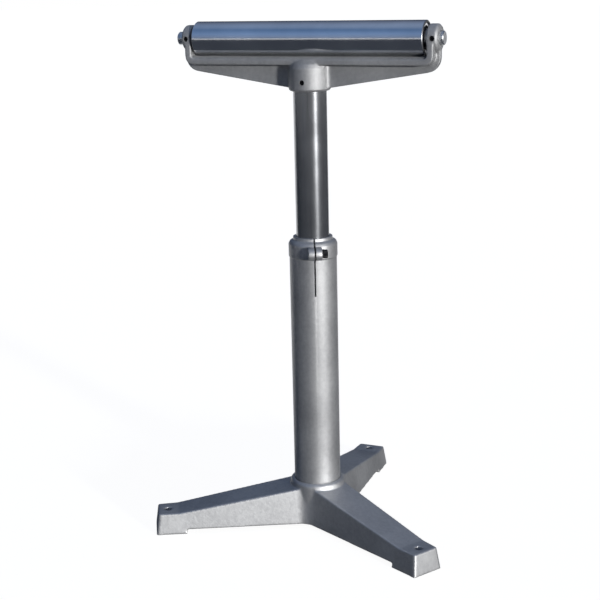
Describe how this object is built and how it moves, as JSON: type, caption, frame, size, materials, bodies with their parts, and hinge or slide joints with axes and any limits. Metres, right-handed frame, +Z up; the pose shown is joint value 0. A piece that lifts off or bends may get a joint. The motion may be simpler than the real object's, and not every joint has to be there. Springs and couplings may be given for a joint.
{
  "type": "roller stand",
  "caption": "Height-adjustable work support: a cast tripod foot, a split clamp column and a sliding post that carries a ball-bearing steel roller in a cast yoke.",
  "frame": {"origin": "on the floor, under the middle of the stand's outline", "axes": "+Z up along the column, +X along the roller, -Y towards the side the set screws face; the column stands forward of the origin because one leg points straight back"},
  "size_m": [0.4712, 0.4088, 0.777],
  "materials": {
    "cast_paint": "satin silver-grey enamel over an as-cast iron surface",
    "post_steel": "drawn and polished steel tube, dark and glossy",
    "roller_steel": "turned and polished steel tube",
    "axle_zinc": "bright zinc plate",
    "screw_black": "black oxide",
    "bearing_steel": "ground bearing steel",
    "cage_brass": "machined",
    "seal_rubber": "matt black"
  },
  "bodies": {
    "foot": {"base_casting": "cast_paint", "outer_column": "cast_paint"},
    "clamp_screw": {"clamp_screw": "screw_black"},
    "post": {"inner_column": "post_steel"},
    "head": {"head_yoke": "cast_paint", "column_set_screw": "screw_black", "axle": "axle_zinc", "bearing_inner_ring_left": "bearing_steel", "axle_spacer_left": "axle_zinc", "axle_set_screw_left": "screw_black", "bearing_inner_ring_right": "bearing_steel", "axle_spacer_right": "axle_zinc", "axle_set_screw_right": "screw_black"},
    "roller": {"roller_tube": "roller_steel", "bearing_outer_ring_left": "bearing_steel", "bearing_outer_ring_right": "bearing_steel", "bearing_seal_left_outer": "seal_rubber", "bearing_seal_left_inner": "seal_rubber", "bearing_seal_right_outer": "seal_rubber", "bearing_seal_right_inner": "seal_rubber"},
    "cage_left": {"bearing_cage_left": "cage_brass", "bearing_ball_left_1": "bearing_steel", "bearing_ball_left_2": "bearing_steel", "bearing_ball_left_3": "bearing_steel", "bearing_ball_left_4": "bearing_steel", "bearing_ball_left_5": "bearing_steel", "bearing_ball_left_6": "bearing_steel", "bearing_ball_left_7": "bearing_steel", "bearing_ball_left_8": "bearing_steel", "bearing_ball_left_9": "bearing_steel"},
    "cage_right": {"bearing_cage_right": "cage_brass", "bearing_ball_right_1": "bearing_steel", "bearing_ball_right_2": "bearing_steel", "bearing_ball_right_3": "bearing_steel", "bearing_ball_right_4": "bearing_steel", "bearing_ball_right_5": "bearing_steel", "bearing_ball_right_6": "bearing_steel", "bearing_ball_right_7": "bearing_steel", "bearing_ball_right_8": "bearing_steel", "bearing_ball_right_9": "bearing_steel"}
  },
  "joints": [
    {"name": "column_slide", "type": "slide", "parent": "foot", "child": "post", "axis": [0, 0, 1], "range_m": [-0.214, 0.115]},
    {"name": "head_swivel", "type": "hinge", "parent": "post", "child": "head", "pos_m": [0, -0.05358, 0.6765], "axis": [0, 0, 1], "continuous": true},
    {"name": "roller_spin", "type": "hinge", "parent": "head", "child": "roller", "pos_m": [0, -0.05358, 0.752], "axis": [1, 0, 0], "continuous": true},
    {"name": "cage_spin_left", "type": "hinge", "parent": "head", "child": "cage_left", "pos_m": [-0.1725, -0.05358, 0.752], "axis": [1, 0, 0], "continuous": true},
    {"name": "cage_spin_right", "type": "hinge", "parent": "head", "child": "cage_right", "pos_m": [0.1725, -0.05358, 0.752], "axis": [1, 0, 0], "continuous": true},
    {"name": "clamp_screw_turn", "type": "hinge", "parent": "foot", "child": "clamp_screw", "pos_m": [0.01919, -0.09206, 0.4395], "axis": [0.8949, 0.4462, 0], "range_deg": [0, 360]}
  ],
  "couplings": [
    {"joint": "cage_spin_left", "follows": "roller_spin", "ratio": 0.60242},
    {"joint": "cage_spin_right", "follows": "roller_spin", "ratio": 0.60242}
  ]
}
